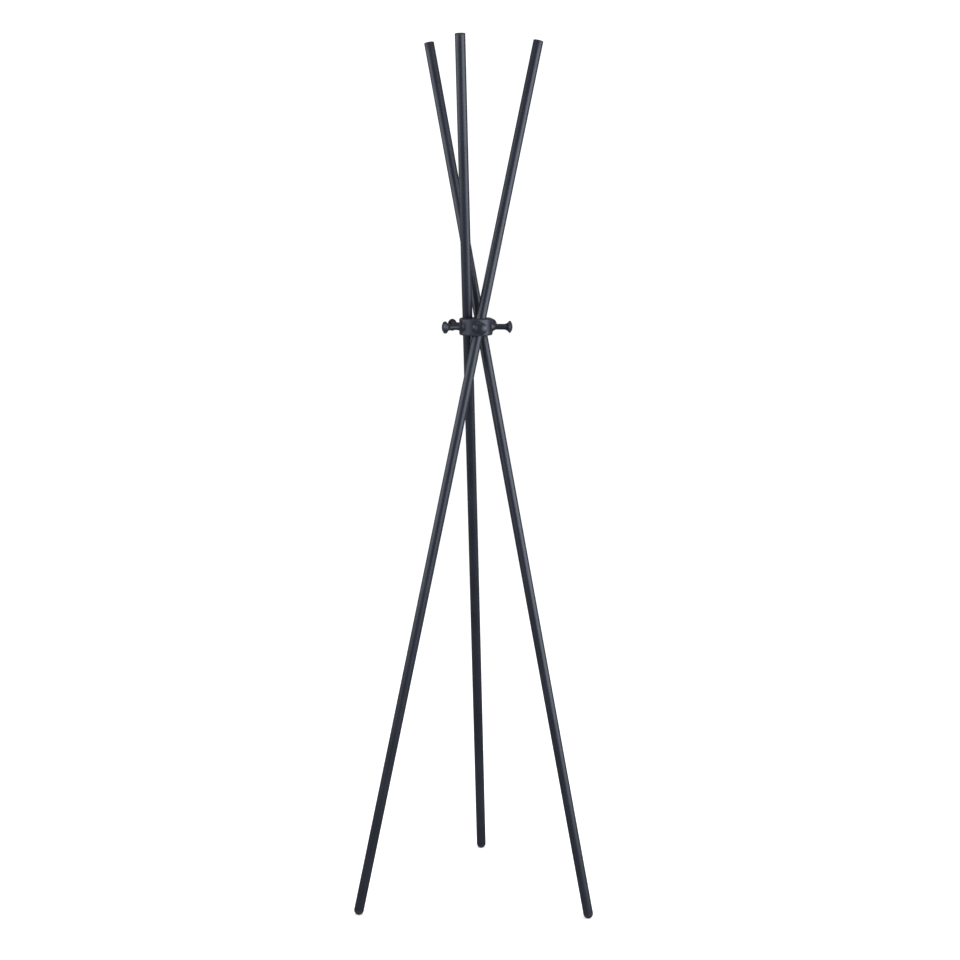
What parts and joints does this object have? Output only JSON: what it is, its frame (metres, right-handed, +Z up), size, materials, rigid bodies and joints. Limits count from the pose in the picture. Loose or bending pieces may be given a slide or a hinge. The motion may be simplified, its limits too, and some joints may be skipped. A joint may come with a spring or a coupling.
{
  "type": "tripod coat stand",
  "caption": "Free-standing tripod coat stand: straight round poles cross askew in a round hub, and turned flared pegs screw into the hub's side.",
  "frame": {"origin": "on the floor, under the hub's vertical axis", "axes": "+Z up along the hub's axis; the first pole crosses the hub on the -X side"},
  "size_m": [0.4821, 0.4345, 1.7422],
  "materials": {
    "hub_casting": "satin black powder coat on a casting",
    "pole_tube": "satin black powder coat on steel tube",
    "peg": "satin black powder coat on turned metal",
    "end_cap": "moulded black plastic",
    "foot": "moulded black rubber-like plastic",
    "steel_insert": "bright turned steel",
    "steel_stud": "zinc plated thread",
    "zinc_washer": "zinc plated",
    "nylon_washer": "black nylon"
  },
  "bodies": {
    "root": {"hub": "hub_casting", "pole_stud_1": "steel_stud", "upper_washer_1": "zinc_washer", "lower_tube_1": "pole_tube", "lower_insert_1": "steel_insert", "lower_washer_1": "zinc_washer", "foot_cap_1": "foot", "pole_stud_2": "steel_stud", "upper_washer_2": "zinc_washer", "lower_tube_2": "pole_tube", "lower_insert_2": "steel_insert", "lower_washer_2": "zinc_washer", "foot_cap_2": "foot", "pole_stud_3": "steel_stud", "upper_washer_3": "zinc_washer", "lower_tube_3": "pole_tube", "lower_insert_3": "steel_insert", "lower_washer_3": "zinc_washer", "foot_cap_3": "foot"},
    "upper_pole_1": {"upper_tube_1": "pole_tube", "upper_insert_1": "steel_insert", "top_cap_1": "end_cap"},
    "upper_pole_2": {"upper_tube_2": "pole_tube", "upper_insert_2": "steel_insert", "top_cap_2": "end_cap"},
    "upper_pole_3": {"upper_tube_3": "pole_tube", "upper_insert_3": "steel_insert", "top_cap_3": "end_cap"},
    "peg_1": {"peg_1": "peg", "peg_stud_1": "steel_stud", "peg_washer_1": "nylon_washer"},
    "peg_2": {"peg_2": "peg", "peg_stud_2": "steel_stud", "peg_washer_2": "nylon_washer"},
    "peg_3": {"peg_3": "peg", "peg_stud_3": "steel_stud", "peg_washer_3": "nylon_washer"},
    "peg_4": {"peg_4": "peg", "peg_stud_4": "steel_stud", "peg_washer_4": "nylon_washer"},
    "peg_5": {"peg_5": "peg", "peg_stud_5": "steel_stud", "peg_washer_5": "nylon_washer"}
  },
  "joints": [
    {"name": "upper_pole_1_unscrew", "type": "slide", "parent": "root", "child": "upper_pole_1", "axis": [0, -0.2222, 0.975], "range_m": [0, 0.018]},
    {"name": "upper_pole_2_unscrew", "type": "slide", "parent": "root", "child": "upper_pole_2", "axis": [0.1925, 0.1111, 0.975], "range_m": [0, 0.018]},
    {"name": "upper_pole_3_unscrew", "type": "slide", "parent": "root", "child": "upper_pole_3", "axis": [-0.1925, 0.1111, 0.975], "range_m": [0, 0.018]},
    {"name": "peg_1_unscrew", "type": "slide", "parent": "root", "child": "peg_1", "axis": [0.2538, -0.9673, 0], "range_m": [0, 0.00831]},
    {"name": "peg_2_unscrew", "type": "slide", "parent": "root", "child": "peg_2", "axis": [0.9983, -0.0576, 0], "range_m": [0, 0.00831]},
    {"name": "peg_3_unscrew", "type": "slide", "parent": "root", "child": "peg_3", "axis": [0.3633, 0.9317, 0], "range_m": [0, 0.00831]},
    {"name": "peg_4_unscrew", "type": "slide", "parent": "root", "child": "peg_4", "axis": [-0.7738, 0.6334, 0], "range_m": [0, 0.00831]},
    {"name": "peg_5_unscrew", "type": "slide", "parent": "root", "child": "peg_5", "axis": [-0.8415, -0.5402, 0], "range_m": [0, 0.00831]}
  ]
}
